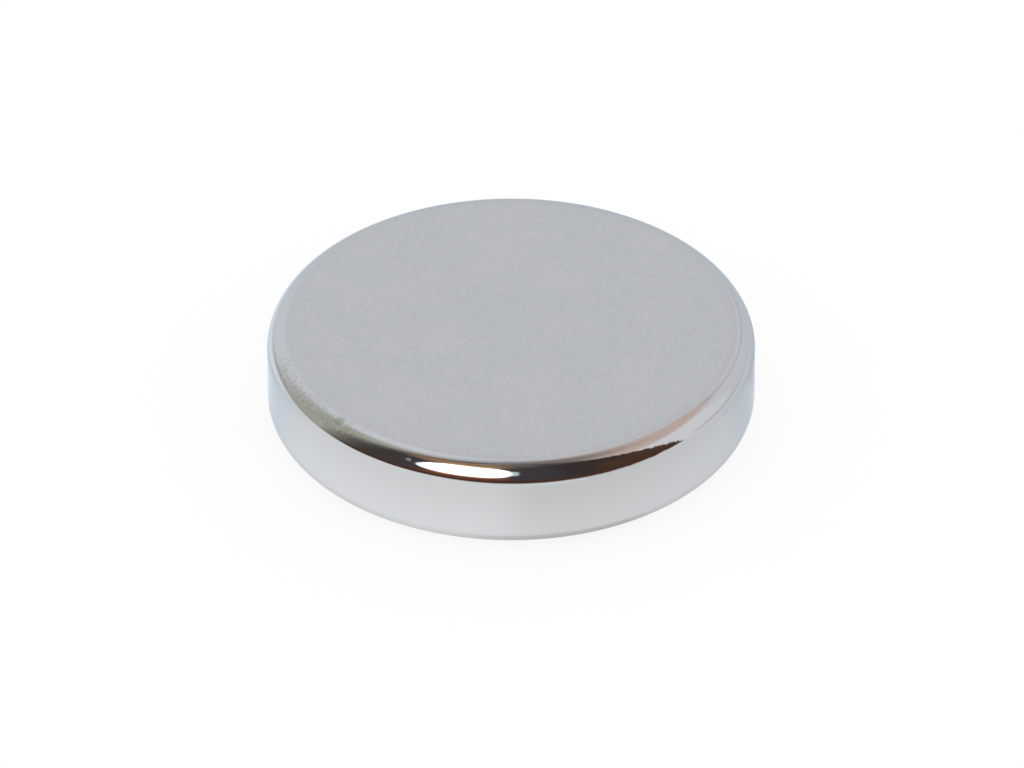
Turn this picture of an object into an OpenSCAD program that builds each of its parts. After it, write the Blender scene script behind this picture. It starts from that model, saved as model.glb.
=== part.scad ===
// Disc magnet: one flat round slug of sintered magnet, plated bright all over.
// It is pressed and sintered as a single disc and tumbled until both rims are
// round, and then its two faces are ground flat. The grinding stops the rounding
// short, so each flat face ends in a faint crease a little way in from the wall.
// Millimetres, +Z up along the axis of the disc, origin at the centre of the lower
// face. The rim is turned from one half section, with its waste cut from a plain
// rectangle by a circle, so wall, rim and face meet on true curves.

/* [Disc] */
// Diameter across the straight wall
disc_d = 10; // [6:0.5:40]
// Thickness from face to face
disc_h = 2; // [1.5:0.1:20]

/* [Rim] */
// Width of the rounded rim, from the wall in to the crease of the flat face
rim_w = 0.3; // [0.1:0.05:0.35]
// Height of the rounded rim, from the flat face down to the straight wall
rim_h = 0.45; // [0.35:0.05:0.6]

/* [Hidden] */
$fn = 128;

disc_r = disc_d / 2;
crease_r = disc_r - rim_w;
// The rim's arc leaves the wall smoothly and ends at the crease.
rim_r = (rim_w ^ 2 + rim_h ^ 2) / (2 * rim_w);
// Cutting shapes run past the surface that they cut by this much.
past = 1;

// The corner of the section that tumbling wears away under the lower rim
module rim_waste() {
    difference() {
        translate([crease_r, -past])
            square([rim_w + past, rim_h + past]);
        translate([disc_r - rim_r, rim_h])
            circle(r = rim_r);
    }
}

// Half of the disc's section, from the axis out to the wall
module half_section() {
    difference() {
        square([disc_r, disc_h]);
        rim_waste();
        translate([0, disc_h])
            mirror([0, 1])
                rim_waste();
    }
}

// The whole magnet, turned in one piece
module disc_magnet() {
    color([0.73, 0.74, 0.75])
        rotate_extrude()
            half_section();
}

disc_magnet();
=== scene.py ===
import math

import bpy
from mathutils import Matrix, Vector


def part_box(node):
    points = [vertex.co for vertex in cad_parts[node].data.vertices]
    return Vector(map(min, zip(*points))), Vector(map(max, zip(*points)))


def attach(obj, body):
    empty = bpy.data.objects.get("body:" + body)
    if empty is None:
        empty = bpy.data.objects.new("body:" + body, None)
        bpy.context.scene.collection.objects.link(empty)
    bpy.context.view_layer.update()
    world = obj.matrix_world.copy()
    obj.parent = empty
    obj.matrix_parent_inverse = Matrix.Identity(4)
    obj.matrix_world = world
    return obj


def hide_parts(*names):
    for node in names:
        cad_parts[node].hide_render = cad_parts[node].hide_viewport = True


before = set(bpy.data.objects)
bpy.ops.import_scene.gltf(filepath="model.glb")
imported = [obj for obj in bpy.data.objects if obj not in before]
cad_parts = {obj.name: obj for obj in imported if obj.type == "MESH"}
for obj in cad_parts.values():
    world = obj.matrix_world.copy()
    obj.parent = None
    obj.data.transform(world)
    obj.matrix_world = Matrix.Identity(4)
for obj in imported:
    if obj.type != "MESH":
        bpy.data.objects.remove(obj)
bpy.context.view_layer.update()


# The magnet
# One pressed and sintered disc, tumbled until its rims are round, with both flat
# faces ground afterwards. The grinding stops the rounding short, so a soft crease
# runs round each face. The whole disc is then plated with bright nickel.
MM = 0.001
low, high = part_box("disc_magnet")
DISC_R = (high[0] - low[0]) / 2
DISC_H = high[2] - low[2]
RIM_W = 0.3 * MM
RIM_H = 0.45 * MM
# The plating rounds the crease off over this width of the flat face.
CREASE_W = 0.16 * MM
# The handles of the rim's curve, as a share of the softened rim's width and one of its height
FACE_HANDLE = 0.4
WALL_HANDLE = 0.4425
# The mesh of the face is finer near the rim, in to this many widths of the softened rim.
FINE_FACE = 2.5
WALL_STEPS = 7
RIM_STEPS = 24
FINE_FACE_STEPS = 14
INNER_FACE_STEPS = 8
TURN_STEPS = 900
# Points of the mesh that lie closer than this are made one.
JOIN_WITHIN = 0.001 * MM
# A small knock has pushed in the upper crease, left of the front.
KNOCK_W = 0.5 * MM
KNOCK_DEPTH = 0.022 * MM
KNOCK_ANGLE = math.radians(223)
# Its middle lies in from the wall by this share of the rim's width.
KNOCK_IN = 0.8

# Widths and depths of the surface marks, in millimetres. The real grinding marks are finer
# than a pixel, so the grain is drawn coarse enough to show.
GRAIN_W = 0.07
GRAIN_DEPTH = 0.0006
CLOUD_W = 1.5
# Tumbling leaves the rims a little wavy. The waves grow deeper on the right, from the first
# to the second of these places.
WAVE_W = 0.3
WAVE_DEPTH = 0.0008
WAVE_DEPTH_RIGHT = 0.005
WAVIER_FROM = 0.5 * MM
WAVIER_TO = 2.5 * MM
# Handling has pitted the rim along this much of its upper edge, mostly behind the knock. At
# each end the pits fade out over this share of half the length, both ways.
PIT_W = 0.065
PIT_DEPTH = 0.003
WORN_LENGTH = 3.2
WORN_FADE = 0.2
WORN_ANGLE = math.radians(211)
# The plating is dulled and painted with the olive it reflects in the middle of the knock, over
# this width, and in from the wall by this share of the rim's width.
DULL_AND_REFLECTION_W = 0.36
DULL_AND_REFLECTION_IN = 0.72
# The tone of the faces rises between the first of these pairs of values of the noise, and the
# pits turn dull, painted with the olive they reflect, between the second.
TONE_SPREAD = (0.3, 0.7)
PIT_SPREAD = (0.35, 0.65)
# How strong each finer layer of the noise is, next to the one before
NOISE_ROUGHNESS = 0.6
# Millimetres past the crease: where the satin face turns into the mirror of the rim, where
# the pits end lower down the rim, and the two edges of a painted dark shade line
MIRROR_SETS_IN = (-0.1, 0.03)
PITS_END = (0.5, 0.3)
SHADE_LINE_INNER = (0.02, 0.05)
SHADE_LINE_OUTER = (0.09, 0.06)
# A painted dark shade line follows the upper crease on the right. It keeps within these
# limits on the right, at the back, in front and upwards.
SHADE_LINE_RIGHT = (3.6 * MM, 4.1 * MM)
SHADE_LINE_BACK = (1.9 * MM, 1.4 * MM)
SHADE_LINE_FRONT = (-3.1 * MM, -2.5 * MM)
SHADE_LINE_UP = (0.6 * DISC_H, 0.7 * DISC_H)

# The finish: its roughness, its colours, how far the faces and rims go from the deep tone to
# the pale one, and how strongly the marks take their colours, painted reflection and shade too
FACE_ROUGHNESS = 0.42
RIM_ROUGHNESS = 0.05
NICKEL_DEEP = "#CBCDCE"
NICKEL_PALE = "#D4D4D5"
NICKEL_GRAZING = "#E2E7EC"
# Olive reflection of the wall, painted onto the dull worn plating
NICKEL_DULLED_AND_REFLECTED_OLIVE = "#989682"
# Painted shade along the upper crease on the right
SHADE_LINE_GREY = "#84868C"
TONE_LEAST = -0.1
GRAIN_TONE = 0.9
CLOUD_TONE = 0.2
RIM_TONE = 0.3
# How strongly the pits and the knock take the painted olive reflection, and the crease line its painted
# shade
PIT_DULL_AND_REFLECTION_SHARE = 0.3
KNOCK_DULL_AND_REFLECTION_SHARE = 0.65
SHADE_LINE_SHARE = 0.27


def linear(hex_colour):
    """An sRGB hex colour as linear red, green, blue and alpha."""
    parts = [int(hex_colour[i:i + 2], 16) / 255 for i in (1, 3, 5)]
    return (*[c / 12.92 if c <= 0.04045 else ((c + 0.055) / 1.055) ** 2.4 for c in parts], 1.0)


def add(tree, kind, inputs=None, **settings):
    """Adds a node with its settings. An input gets a value, a link from a socket or from a
    node's first live output, or one link for each item of a list."""
    node = tree.nodes.new(kind)
    for name, value in settings.items():
        setattr(node, name, value)
    for name, value in (inputs or {}).items():
        for source in value if isinstance(value, list) else [value]:
            if isinstance(source, bpy.types.Node):
                source = next(output for output in source.outputs if output.enabled)
            if isinstance(source, bpy.types.NodeSocket):
                tree.links.new(source, node.inputs[name])
            else:
                node.inputs[name].default_value = source
    return node


def turned_disc(plating):
    """Turns the upper half of the section round the axis and mirrors it for the lower half."""
    tree = bpy.data.node_groups.new("turned_disc", "GeometryNodeTree")
    sizes = {"Radius": DISC_R, "Thickness": DISC_H, "Rim width": RIM_W, "Rim height": RIM_H,
             "Crease width": CREASE_W, "Knock width": KNOCK_W, "Knock depth": KNOCK_DEPTH,
             "Knock angle": KNOCK_ANGLE, "Turn steps": TURN_STEPS, "Plating": plating}
    kinds = {float: "NodeSocketFloat", int: "NodeSocketInt"}
    for name, value in sizes.items():
        kind = kinds.get(type(value), "NodeSocketMaterial")
        tree.interface.new_socket(name=name, in_out="INPUT", socket_type=kind)
    tree.interface.new_socket(name="Disc", in_out="OUTPUT", socket_type="NodeSocketGeometry")
    given = add(tree, "NodeGroupInput").outputs

    def stretch(start, end, steps):
        """A straight stretch of the section, with this many points."""
        straight = add(tree, "GeometryNodeCurvePrimitiveLine", {"Start": start, "End": end})
        return add(tree, "GeometryNodeResampleCurve", {"Curve": straight, "Count": steps})

    # The section has its wall at X = 0, its axis at X = minus the radius, and its
    # face at half of the thickness above Y = 0.
    half_h = add(tree, "ShaderNodeMath", {0: given["Thickness"], 1: 0.5}, operation="MULTIPLY")
    wall_top = add(tree, "ShaderNodeMath", {0: half_h, 1: given["Rim height"]}, operation="SUBTRACT")
    wall_pull = add(tree, "ShaderNodeMath", {0: given["Rim height"], 1: WALL_HANDLE, 2: wall_top},
                    operation="MULTIPLY_ADD")
    soft_rim = add(tree, "ShaderNodeMath", {0: given["Rim width"], 1: given["Crease width"]},
                   operation="ADD")
    rim_x, fine_x, face_pull = [
        add(tree, "ShaderNodeMath", {0: soft_rim, 1: -share}, operation="MULTIPLY")
        for share in (1.0, FINE_FACE, FACE_HANDLE)]
    axis_x = add(tree, "ShaderNodeMath", {0: given["Radius"], 1: -1.0}, operation="MULTIPLY")
    foot, shoulder, shoulder_handle, edge_handle, edge, fine_end, axis = [
        add(tree, "ShaderNodeCombineXYZ", {"X": x, "Y": y})
        for x, y in ((0.0, 0.0), (0.0, wall_top), (0.0, wall_pull), (face_pull, half_h),
                     (rim_x, half_h), (fine_x, half_h), (axis_x, half_h))]
    wall = stretch(foot, shoulder, WALL_STEPS)
    # The rim's curve tightens as it reaches the face.
    rim = add(tree, "GeometryNodeCurvePrimitiveBezierSegment",
              {"Resolution": RIM_STEPS, "Start": shoulder, "Start Handle": shoulder_handle,
               "End Handle": edge_handle, "End": edge}, mode="POSITION")
    fine_face = stretch(edge, fine_end, FINE_FACE_STEPS)
    inner_face = stretch(fine_end, axis, INNER_FACE_STEPS)
    section = add(tree, "GeometryNodeJoinGeometry", {0: [wall, rim, fine_face, inner_face]})

    # Each point of the section keeps how far it lies past the crease, in millimetres.
    position = add(tree, "GeometryNodeInputPosition")
    place = add(tree, "ShaderNodeSeparateXYZ", {0: position}).outputs
    outwards = add(tree, "ShaderNodeMath", {0: place["X"], 1: given["Rim width"]}, operation="ADD")
    downwards = add(tree, "ShaderNodeMath", {0: half_h, 1: place["Y"]}, operation="SUBTRACT")
    past_crease = add(tree, "ShaderNodeMath", {0: outwards, 1: downwards}, operation="ADD")
    past_crease = add(tree, "ShaderNodeMath", {0: past_crease, 1: MM}, operation="DIVIDE")
    section = add(tree, "GeometryNodeStoreNamedAttribute",
                  {"Geometry": section, "Name": "past_crease", "Value": past_crease},
                  data_type="FLOAT", domain="POINT")

    circle = add(tree, "GeometryNodeCurvePrimitiveCircle",
                 {"Resolution": given["Turn steps"], "Radius": given["Radius"]})
    turned = add(tree, "GeometryNodeCurveToMesh", {"Curve": circle, "Profile Curve": section})
    mirrored = add(tree, "GeometryNodeTransform", {"Geometry": turned, "Scale": (1, 1, -1)})
    mirrored = add(tree, "GeometryNodeFlipFaces", {"Mesh": mirrored})
    disc = add(tree, "GeometryNodeJoinGeometry", {0: [turned, mirrored]})
    disc = add(tree, "GeometryNodeMergeByDistance", {"Geometry": disc, "Distance": JOIN_WITHIN})
    lift = add(tree, "ShaderNodeCombineXYZ", {"Z": half_h})
    disc = add(tree, "GeometryNodeTransform", {"Geometry": disc, "Translation": lift})

    # The knock pushes the metal down, most at its middle and not at all past its width.
    knock_r = add(tree, "ShaderNodeMath", {0: given["Rim width"], 1: -KNOCK_IN, 2: given["Radius"]},
                  operation="MULTIPLY_ADD")
    east, north = [add(tree, "ShaderNodeMath", {0: given["Knock angle"]}, operation=turn)
                   for turn in ("COSINE", "SINE")]
    knock_x, knock_y = [add(tree, "ShaderNodeMath", {0: knock_r, 1: share}, operation="MULTIPLY")
                        for share in (east, north)]
    knock = add(tree, "ShaderNodeCombineXYZ", {"X": knock_x, "Y": knock_y, "Z": given["Thickness"]})
    away = add(tree, "ShaderNodeVectorMath", {0: position, 1: knock}, operation="DISTANCE")
    knock_half = add(tree, "ShaderNodeMath", {0: given["Knock width"], 1: 0.5}, operation="MULTIPLY")
    push = add(tree, "ShaderNodeMapRange",
               {"Value": away, "From Min": 0.0, "From Max": knock_half,
                "To Min": given["Knock depth"], "To Max": 0.0}, interpolation_type="SMOOTHSTEP")
    fall = add(tree, "ShaderNodeMath", {0: push, 1: -1.0}, operation="MULTIPLY")
    down = add(tree, "ShaderNodeCombineXYZ", {"Z": fall})
    disc = add(tree, "GeometryNodeSetPosition", {"Geometry": disc, "Offset": down})

    disc = add(tree, "GeometryNodeSetShadeSmooth", {"Geometry": disc})
    disc = add(tree, "GeometryNodeRealizeInstances", {"Geometry": disc})
    disc = add(tree, "GeometryNodeSetMaterial", {"Geometry": disc, "Material": given["Plating"]})
    add(tree, "NodeGroupOutput", {"Disc": disc})
    return tree, sizes


def mask(tree, *limits, share=1.0):
    """A share that holds where every value is past its end, and falls smoothly to 0 at its start."""
    for value, start, end in limits:
        share = add(tree, "ShaderNodeMapRange",
                    {"Value": value, "From Min": start, "From Max": end, "To Max": share},
                    interpolation_type="SMOOTHSTEP")
    return share


def bright_nickel():
    """Electroplated bright nickel: a mirror on the tumbled rims and wall, satin on the ground faces."""
    material = bpy.data.materials.new("bright_nickel_plating")
    material.use_nodes = True
    tree = material.node_tree
    tree.nodes.clear()
    zone = add(tree, "ShaderNodeAttribute", attribute_name="past_crease").outputs["Fac"]
    on_rim = mask(tree, (zone, *MIRROR_SETS_IN))
    place = add(tree, "ShaderNodeTexCoord").outputs["Object"]
    place_x, place_y, place_z = add(tree, "ShaderNodeSeparateXYZ", {0: place}).outputs

    def from_spot(inwards, angle):
        """How far the surface lies from a spot on the upper rim, some of its width inwards."""
        spot_r = DISC_R - inwards * RIM_W
        spot = (spot_r * math.cos(angle), spot_r * math.sin(angle), DISC_H)
        return add(tree, "ShaderNodeVectorMath", {0: place, 1: spot}, operation="DISTANCE")

    # Each pattern has patches of about its own width: the even grain that grinding leaves on
    # the faces, faint clouds, the waves of the tumbled rims, and pits.
    grain, clouds, waves, pits = [
        add(tree, "ShaderNodeTexNoise",
            {"Vector": place, "Scale": 1 / (width * MM), "Detail": detail,
             "Roughness": NOISE_ROUGHNESS})
        for width, detail in ((GRAIN_W, 3.0), (CLOUD_W, 2.0), (WAVE_W, 2.0), (PIT_W, 1.0))]

    # The faces have the grain in relief, and the rims have the waves and, where worn, the pits.
    worn_half = 0.5 * WORN_LENGTH * MM
    worn_end = ((1 + WORN_FADE) * worn_half, (1 - WORN_FADE) * worn_half)
    worn = mask(tree, (from_spot(1.0, WORN_ANGLE), *worn_end), (zone, *PITS_END), share=on_rim)
    wave_depth = add(tree, "ShaderNodeMapRange",
                     {"Value": place_x, "From Min": WAVIER_FROM, "From Max": WAVIER_TO,
                      "To Min": WAVE_DEPTH, "To Max": WAVE_DEPTH_RIGHT},
                     interpolation_type="SMOOTHSTEP")
    pit_depth = add(tree, "ShaderNodeMath", {0: worn, 1: PIT_DEPTH}, operation="MULTIPLY")
    face_height, wave_height, pit_height = [
        add(tree, "ShaderNodeMath", {0: pattern, 1: depth}, operation="MULTIPLY")
        for pattern, depth in ((grain, GRAIN_DEPTH), (waves, wave_depth), (pits, pit_depth))]
    rim_height = add(tree, "ShaderNodeMath", {0: wave_height, 1: pit_height}, operation="ADD")
    height = add(tree, "ShaderNodeMix", {"Factor": on_rim, "A": face_height, "B": rim_height},
                 data_type="FLOAT")
    bump = add(tree, "ShaderNodeBump", {"Height": height, "Distance": MM, "Strength": 1.0})
    roughness = add(tree, "ShaderNodeMapRange",
                    {"Value": on_rim, "To Min": FACE_ROUGHNESS, "To Max": RIM_ROUGHNESS},
                    interpolation_type="SMOOTHSTEP")

    # The tone of the faces changes a little from grain to grain and in faint clouds.
    grain_tone, cloud_tone = [
        add(tree, "ShaderNodeMapRange",
            {"Value": pattern, "From Min": TONE_SPREAD[0], "From Max": TONE_SPREAD[1],
             "To Min": TONE_LEAST, "To Max": most}, interpolation_type="SMOOTHSTEP")
        for pattern, most in ((grain, GRAIN_TONE), (clouds, CLOUD_TONE))]
    face_tone = add(tree, "ShaderNodeMath", {0: grain_tone, 1: cloud_tone}, operation="ADD")
    tone = add(tree, "ShaderNodeMix", {"Factor": on_rim, "A": face_tone, "B": RIM_TONE},
               data_type="FLOAT")
    tint = add(tree, "ShaderNodeMix",
               {"Factor": tone, "A": linear(NICKEL_DEEP), "B": linear(NICKEL_PALE)},
               data_type="RGBA")

    # The pits and the knock are dull worn plating painted with the olive they reflect, and the
    # line along the crease is painted dark shade.
    dull_and_reflection_half = 0.5 * DULL_AND_REFLECTION_W * MM
    in_knock = mask(tree, (from_spot(DULL_AND_REFLECTION_IN, KNOCK_ANGLE), dull_and_reflection_half, 0.5 * dull_and_reflection_half))
    in_pits = mask(tree, (pits, *PIT_SPREAD), share=worn)
    on_shade_line = mask(tree, (place_x, *SHADE_LINE_RIGHT), (place_y, *SHADE_LINE_BACK),
                       (place_y, *SHADE_LINE_FRONT), (place_z, *SHADE_LINE_UP),
                       (zone, *SHADE_LINE_INNER), (zone, *SHADE_LINE_OUTER))
    knock_dull_and_reflection, pit_dull_and_reflection, shade_lined = [
        add(tree, "ShaderNodeMath", {0: where, 1: share}, operation="MULTIPLY")
        for where, share in ((in_knock, KNOCK_DULL_AND_REFLECTION_SHARE), (in_pits, PIT_DULL_AND_REFLECTION_SHARE),
                             (on_shade_line, SHADE_LINE_SHARE))]
    dull_and_reflection = add(tree, "ShaderNodeMath", {0: pit_dull_and_reflection, 1: knock_dull_and_reflection}, operation="MAXIMUM")
    for share, colour in ((dull_and_reflection, NICKEL_DULLED_AND_REFLECTED_OLIVE), (shade_lined, SHADE_LINE_GREY)):
        tint = add(tree, "ShaderNodeMix", {"Factor": share, "A": tint, "B": linear(colour)},
                   data_type="RGBA")
    surface = add(tree, "ShaderNodeBsdfPrincipled",
                  {"Base Color": tint, "Metallic": 1.0, "Roughness": roughness, "Normal": bump,
                   "Specular Tint": linear(NICKEL_GRAZING)})
    add(tree, "ShaderNodeOutputMaterial", {"Surface": surface})
    return material


nickel = bright_nickel()
tree, sizes = turned_disc(nickel)
holder = bpy.data.objects.new("disc_holder", bpy.data.meshes.new("disc_holder"))
bpy.context.scene.collection.objects.link(holder)
modifier = holder.modifiers.new("turned_disc", "NODES")
modifier.node_group = tree
for item in tree.interface.items_tree:
    if item.in_out == "INPUT":
        modifier[item.identifier] = sizes[item.name]
shape = bpy.data.meshes.new_from_object(holder.evaluated_get(bpy.context.evaluated_depsgraph_get()))
bpy.data.objects.remove(holder)
magnet = bpy.data.objects.new("plated_disc", shape)
bpy.context.scene.collection.objects.link(magnet)
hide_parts("disc_magnet")
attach(magnet, "root")


# The floor
# A plain matt white sheet of paper under the magnet. The camera sees it white with a
# faint shadow. The bright metal sees a painted glow in its place: brighter beside the rim,
# darker on the right and in a painted shadow right under the rim, and it sees it end a
# short way out, where the room begins.
FLOOR_W = 2.0
WHITE = "#FFFFFF"
# The camera sees this share of plain white, and the rest as the sheet is lit.
WHITE_SHARE = 0.86
# The metal sees the sheet white in front, cooler further back, and warmer in the painted
# shade right under the rim.
SHEET_FRONT = "#FDFEFF"
SHEET_BACK = "#F5FAFF"
SHEET_IN_RIM_SHADE = "#FFFAFA"
FURTHER_BACK = (-2.0 * MM, -0.4 * MM)
UNDER_RIM = (5.12 * MM, 4.98 * MM)
# How bright the metal sees the painted glow beside the rim and further out, its factor for the
# painted shade in under the rim, and the distances from the middle over which each of the two changes
# comes
GLOW_BESIDE = 1.1
GLOW_FAR = 0.98
GLOW_FALLS = (5.4 * MM, 7.2 * MM)
GLOW_IN_RIM_SHADE = 0.96
GLOW_RISES = (5.0 * MM, 5.4 * MM)
# Where the metal sees the sheet end: along a straight edge in front, which comes nearer
# on the right, and at a distance all round
EDGE_FROM = 8.6 * MM
EDGE_TO = 16 * MM
EDGE_TURN = math.radians(20)
SHEET_FROM = 13 * MM
SHEET_TO = 23 * MM

floor_mesh = bpy.data.meshes.new("floor")
half = FLOOR_W / 2
floor_mesh.from_pydata([(-half, -half, 0), (half, -half, 0), (half, half, 0), (-half, half, 0)],
                       [], [(0, 1, 2, 3)])
floor = bpy.data.objects.new("floor", floor_mesh)
bpy.context.scene.collection.objects.link(floor)
paper = bpy.data.materials.new("white_paper")
paper.use_nodes = True
tree = paper.node_tree
tree.nodes.clear()
path = add(tree, "ShaderNodeLightPath").outputs
plain = add(tree, "ShaderNodeEmission", {"Color": linear(WHITE), "Strength": 1.0})
matt = add(tree, "ShaderNodeBsdfDiffuse", {"Color": linear(WHITE)})
white_share = add(tree, "ShaderNodeMath", {0: path["Is Camera Ray"], 1: WHITE_SHARE},
                  operation="MULTIPLY")
shaded = add(tree, "ShaderNodeMixShader", {0: white_share, 1: matt, 2: plain})

spot = add(tree, "ShaderNodeTexCoord").outputs["Object"]
spot_x, spot_y = add(tree, "ShaderNodeSeparateXYZ", {0: spot}).outputs[:2]
out_by = add(tree, "ShaderNodeVectorMath", {0: spot}, operation="LENGTH")
# The painted glow falls off away from the rim, and a little in under it as painted shade.
away_glow = add(tree, "ShaderNodeMapRange",
                {"Value": out_by, "From Min": GLOW_FALLS[0], "From Max": GLOW_FALLS[1],
                 "To Min": GLOW_BESIDE, "To Max": GLOW_FAR}, interpolation_type="SMOOTHSTEP")
rim_shade_glow = add(tree, "ShaderNodeMapRange",
              {"Value": out_by, "From Min": GLOW_RISES[0], "From Max": GLOW_RISES[1],
               "To Min": GLOW_IN_RIM_SHADE, "To Max": 1.0}, interpolation_type="SMOOTHSTEP")
glow = add(tree, "ShaderNodeMath", {0: away_glow, 1: rim_shade_glow}, operation="MULTIPLY")

# The painted shade on the right side reaches this far out, which is further towards the right.
right_reach = add(tree, "ShaderNodeMapRange",
                  {"Value": spot_x, "From Min": 3.0 * MM, "From Max": 6.0 * MM,
                   "To Min": 8.0 * MM, "To Max": 13.0 * MM}, interpolation_type="SMOOTHSTEP")
past_reach = add(tree, "ShaderNodeMath", {0: out_by, 1: right_reach}, operation="SUBTRACT")
# Each area of the painted glow that is brighter or darker by a factor, and its limits
areas = [
    # The right side
    (0.88, (spot_x, -1.5 * MM, 1.5 * MM), (past_reach, MM, -MM)),
    # Beside the right end of the disc
    (0.87, (spot_x, 4.8 * MM, 5.4 * MM), (spot_y, 0.2 * MM, 1.2 * MM), (out_by, 7.5 * MM, 6.0 * MM)),
    # The back on the left
    (1.2, (spot_x, 2.0 * MM, -2.0 * MM), (spot_y, 1.5 * MM, 4.0 * MM)),
    # Painted shadow right under the rim in front, from a little left of the middle to the right
    (0.82, (spot_x, -2.5 * MM, 0.8 * MM), (spot_x, 3.6 * MM, 2.0 * MM), (spot_y, 0.0, -1.0 * MM),
     (out_by, *UNDER_RIM)),
]
for factor, *limits in areas:
    share = add(tree, "ShaderNodeMapRange",
                {"Value": mask(tree, *limits), "To Min": 1.0, "To Max": factor},
                interpolation_type="SMOOTHSTEP")
    glow = add(tree, "ShaderNodeMath", {0: glow, 1: share}, operation="MULTIPLY")

sheet_colour = linear(SHEET_FRONT)
for colour, limit in ((SHEET_BACK, (spot_y, *FURTHER_BACK)), (SHEET_IN_RIM_SHADE, (out_by, *UNDER_RIM))):
    sheet_colour = add(tree, "ShaderNodeMix",
                       {"Factor": mask(tree, limit), "A": sheet_colour, "B": linear(colour)},
                       data_type="RGBA")
sheet = add(tree, "ShaderNodeEmission", {"Color": sheet_colour, "Strength": glow})

# Past its edge the metal sees through the floor to the room.
frontwards = add(tree, "ShaderNodeMath", {0: spot_y, 1: -math.cos(EDGE_TURN)}, operation="MULTIPLY")
ahead = add(tree, "ShaderNodeMath", {0: spot_x, 1: math.sin(EDGE_TURN), 2: frontwards},
            operation="MULTIPLY_ADD")
past_edge = mask(tree, (ahead, EDGE_FROM, EDGE_TO))
far_out = mask(tree, (out_by, SHEET_FROM, SHEET_TO))
past_sheet = add(tree, "ShaderNodeMath", {0: past_edge, 1: far_out}, operation="MAXIMUM")
open_air = add(tree, "ShaderNodeBsdfTransparent")
mirrored = add(tree, "ShaderNodeMixShader", {0: past_sheet, 1: sheet, 2: open_air})
seen = add(tree, "ShaderNodeMixShader", {0: path["Is Glossy Ray"], 1: shaded, 2: mirrored})
add(tree, "ShaderNodeOutputMaterial", {"Surface": seen})
floor_mesh.materials.append(paper)


# The light
# Soft and even from all sides. The camera sees white behind the disc, and the metal
# sees a pale studio: light grey all round, a dark room in front with one bright
# window in it, an olive grey wall on the left and a pink one on the right.
STUDIO_GREY = "#E1E4E8"
# The window is this many times as bright as a white wall.
WINDOW_STRENGTH = 3.0
# The patches are rounded: 2 would make them ellipses, and a high number rectangles.
PATCH_SQUARENESS = 3.0
# The height of the dark room's right edge, as bearings and heights in degrees
ROOM_EDGE = [(30, 89), (47, 82), (56, 60), (64, 42), (70, 23), (77, 3), (84, -24)]

world = bpy.data.worlds.new("pale_studio")
bpy.context.scene.world = world
world.use_nodes = True
tree = world.node_tree
tree.nodes.clear()
direction = add(tree, "ShaderNodeTexCoord").outputs["Generated"]
way = add(tree, "ShaderNodeSeparateXYZ", {0: direction}).outputs
forward = add(tree, "ShaderNodeMath", {0: way["Y"], 1: -1.0}, operation="MULTIPLY")
# Three angles in degrees: the elevation above the horizon, the bearing from the front, minus
# to the left and plus to the right, and how far over the top a direction lies, with 0 at the
# front horizon, 90 overhead and 180 at the back horizon
elevation, bearing, over = [
    add(tree, "ShaderNodeMath", {0: angle, 1: math.degrees(1)}, operation="MULTIPLY")
    for angle in (add(tree, "ShaderNodeMath", {0: way["Z"]}, operation="ARCSINE"),
                  add(tree, "ShaderNodeMath", {0: way["X"], 1: forward}, operation="ARCTAN2"),
                  add(tree, "ShaderNodeMath", {0: way["Z"], 1: forward}, operation="ARCTAN2"))]


def between(value, low_edge, high_edge, soft):
    """Two limits for a stretch from the low edge to the high edge, with soft ends."""
    return (value, low_edge - soft, low_edge + soft), (value, high_edge + soft, high_edge - soft)


def patch(at_bearing, at_elevation, half_w, half_h, soft, tilt=0.0, lean=0.0):
    """A mask for a rounded patch of the surroundings, with a soft edge."""
    sideways = add(tree, "ShaderNodeMath", {0: bearing, 1: at_bearing}, operation="SUBTRACT")
    upwards = add(tree, "ShaderNodeMath", {0: elevation, 1: at_elevation}, operation="SUBTRACT")
    sideways = add(tree, "ShaderNodeMath", {0: upwards, 1: lean, 2: sideways}, operation="MULTIPLY_ADD")
    upwards = add(tree, "ShaderNodeMath", {0: sideways, 1: -tilt, 2: upwards}, operation="MULTIPLY_ADD")
    powers = []
    for offset, reach in ((sideways, half_w), (upwards, half_h)):
        share = add(tree, "ShaderNodeMath", {0: offset, 1: reach}, operation="DIVIDE")
        share = add(tree, "ShaderNodeMath", {0: share}, operation="ABSOLUTE")
        powers.append(add(tree, "ShaderNodeMath", {0: share, 1: PATCH_SQUARENESS}, operation="POWER"))
    total = add(tree, "ShaderNodeMath", {0: powers[0], 1: powers[1]}, operation="ADD")
    outwards = add(tree, "ShaderNodeMath", {0: total, 1: 1 / PATCH_SQUARENESS}, operation="POWER")
    return mask(tree, (outwards, 1 + soft, 1 - soft))


def by_bearing(heights):
    """A height in degrees that changes with the bearing, from a few (bearing, height) points."""
    # The curve's two scales run from 0 to 1, over bearings of -180 to 180 and heights of -90 to 90.
    along = add(tree, "ShaderNodeMath", {0: bearing, 1: 1 / 360, 2: 0.5}, operation="MULTIPLY_ADD")
    line = add(tree, "ShaderNodeFloatCurve", {"Value": along})
    curve = line.mapping.curves[0]
    for at, height in heights:
        curve.points.new(at / 360 + 0.5, height / 180 + 0.5)
    curve.points[0].location = (0.0, heights[0][1] / 180 + 0.5)
    curve.points[-1].location = (1.0, heights[-1][1] / 180 + 0.5)
    for point in curve.points:
        point.handle_type = "VECTOR"
    line.mapping.update()
    return add(tree, "ShaderNodeMath", {0: line, 1: 180, 2: -90}, operation="MULTIPLY_ADD")


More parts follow.
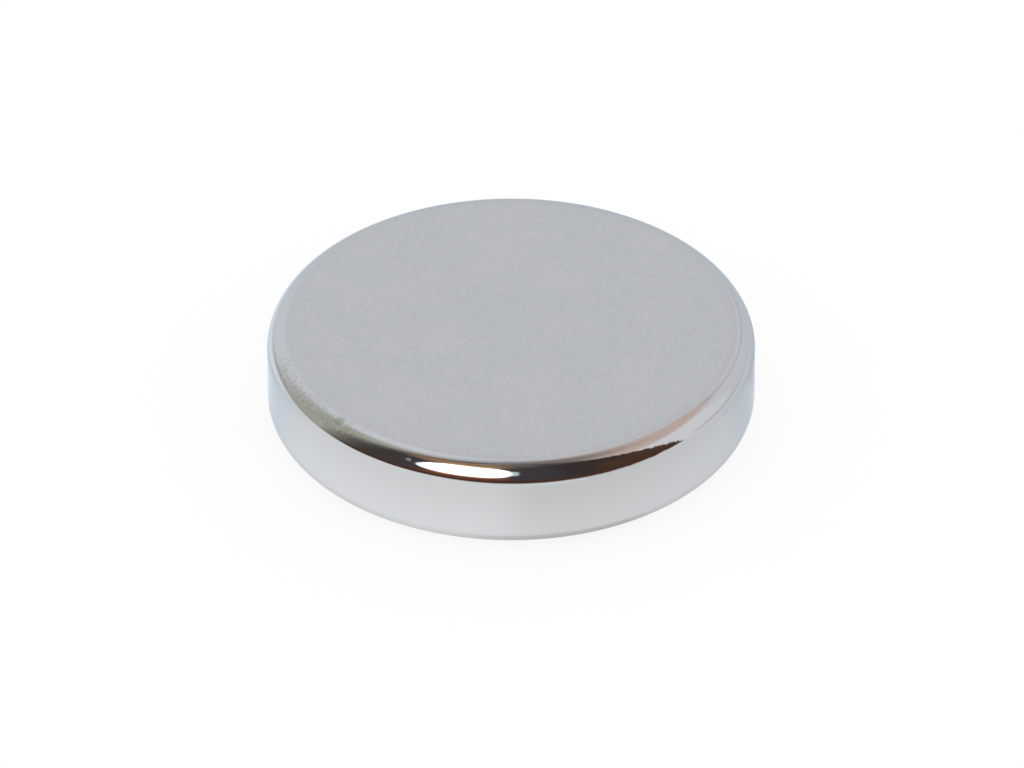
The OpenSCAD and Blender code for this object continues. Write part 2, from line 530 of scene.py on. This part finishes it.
# The left wall is taller towards the front.
wall_top = add(tree, "ShaderNodeMapRange",
               {"Value": bearing, "From Min": -122, "From Max": -92, "To Min": 52, "To Max": 78},
               interpolation_type="SMOOTHSTEP")
over_wall = add(tree, "ShaderNodeMath", {0: elevation, 1: wall_top}, operation="SUBTRACT")
left_wall = mask(tree, *between(bearing, -120, -40, 22), (over_wall, 8, -8))
# The ceiling thins out towards the left.
thinned = add(tree, "ShaderNodeMapRange",
              {"Value": way["X"], "From Min": -0.3, "From Max": 0.05, "To Min": 0.2, "To Max": 1.0},
              interpolation_type="SMOOTHSTEP")
ceiling = mask(tree, (elevation, 50, 80), (over, 113, 86), share=thinned)
# The dark room fades out overhead, and reaches higher on the left.
higher = add(tree, "ShaderNodeMapRange",
             {"Value": bearing, "From Min": -80, "From Max": -20, "To Min": -14, "To Max": 0},
             interpolation_type="SMOOTHSTEP")
fade = add(tree, "ShaderNodeMath", {0: over, 1: higher}, operation="ADD")
over_edge = add(tree, "ShaderNodeMath", {0: elevation, 1: by_bearing(ROOM_EDGE)}, operation="SUBTRACT")
room = mask(tree, (bearing, -97, -60), (over_edge, 8, -8), (fade, 92, 62))
window = patch(-22.8, 39.0, 22.8, 21.8, 0.06, tilt=-0.08)

# Each colour of the surroundings and its mask, laid over the grey one after another
surroundings = [
    # The left wall: pale far back, olive grey nearer, darker where it meets the table
    ("#EEF1F6", mask(tree, *between(bearing, -168, -124, 12))),
    ("#C2C1B4", left_wall),
    ("#B7B6AC", mask(tree, *between(bearing, -138, -88, 8), *between(elevation, -1, 3, 3))),
    # The right wall: grey far back, white nearer, pink higher up, grey where it meets the table
    ("#E7E8EE", mask(tree, *between(bearing, 122, 168, 12), (elevation, 50, 36))),
    ("#F4F4F8", mask(tree, *between(bearing, 40, 114, 12), (elevation, 46, 36))),
    ("#DFC9BE", mask(tree, *between(bearing, 40, 150, 12), *between(elevation, 43, 84, 6))),
    ("#D8DADF", mask(tree, *between(bearing, 88, 122, 9), *between(elevation, -8, 4, 6))),
    # The ceiling, and the dark room in front of it: warmer on the left, browner on the
    # right, and brown low on the right and along its foot
    ("#8A7F79", ceiling),
    ("#4B4649", room),
    ("#4C4643", mask(tree, (bearing, -40, -56), share=room)),
    ("#443937", mask(tree, (bearing, 16, 30), share=room)),
    ("#593F30", mask(tree, *between(bearing, 40, 100, 9), (elevation, 44, 30), share=room)),
    ("#573B2E", mask(tree, (elevation, 10, 0), share=room)),
    # A warm glow over the window and one under it, each brighter beside the window
    ("#AA866A", patch(-38, 67, 34, 11, 0.45)),
    ("#E6BC94", patch(-27, 61, 17, 5, 0.35)),
    ("#7C4B38", patch(-22, 11, 20, 9, 0.35)),
    ("#E0A078", patch(-20, 16, 15, 3, 0.5)),
    # A cool edge on the right of the window, a small lamp on its left, and the window
    ("#D8EBEE", patch(1.6, 38, 2.2, 9, 0.4)),
    ("#A9A9AC", patch(-52, 38.5, 1.0, 5.5, 0.6, lean=0.4)),
    (WHITE, window),
]
studio = linear(STUDIO_GREY)
for colour, where in surroundings:
    studio = add(tree, "ShaderNodeMix", {"Factor": where, "A": studio, "B": linear(colour)},
                 data_type="RGBA")
brightness = add(tree, "ShaderNodeMath", {0: window, 1: WINDOW_STRENGTH - 1, 2: 1.0},
                 operation="MULTIPLY_ADD")
reflected = add(tree, "ShaderNodeBackground", {"Color": studio, "Strength": brightness})
plain = add(tree, "ShaderNodeBackground", {"Color": linear(WHITE), "Strength": 1.0})
path = add(tree, "ShaderNodeLightPath").outputs
sky = add(tree, "ShaderNodeMixShader", {0: path["Is Glossy Ray"], 1: plain, 2: reflected})
add(tree, "ShaderNodeOutputWorld", {"Surface": sky})


# The camera
# It looks down at the front of the disc through a long lens.
CAMERA_AWAY = 0.3
CAMERA_RISE = math.radians(35.1)
# How much of the scene the picture's width takes in, where the disc stands
FIELD_W = 20.99 * MM
# The disc stands a little above and left of the picture's middle.
AIM_RIGHT = 0.02 * MM
AIM_DOWN = 0.34 * MM
SENSOR_W = 36.0
camera_data = bpy.data.cameras.new("camera")
camera_data.sensor_width = SENSOR_W
camera_data.lens = SENSOR_W * CAMERA_AWAY / FIELD_W
camera = bpy.data.objects.new("camera", camera_data)
bpy.context.scene.collection.objects.link(camera)
back = Vector((0.0, -math.cos(CAMERA_RISE), math.sin(CAMERA_RISE)))
up = Vector((0.0, math.sin(CAMERA_RISE), math.cos(CAMERA_RISE)))
aim = Vector((AIM_RIGHT, 0.0, DISC_H / 2)) - AIM_DOWN * up
camera.location = aim + CAMERA_AWAY * back
camera.rotation_mode = "QUATERNION"
camera.rotation_quaternion = (-back).to_track_quat("-Z", "Y")
bpy.context.scene.camera = camera
bpy.context.scene.view_settings.view_transform = "Standard"
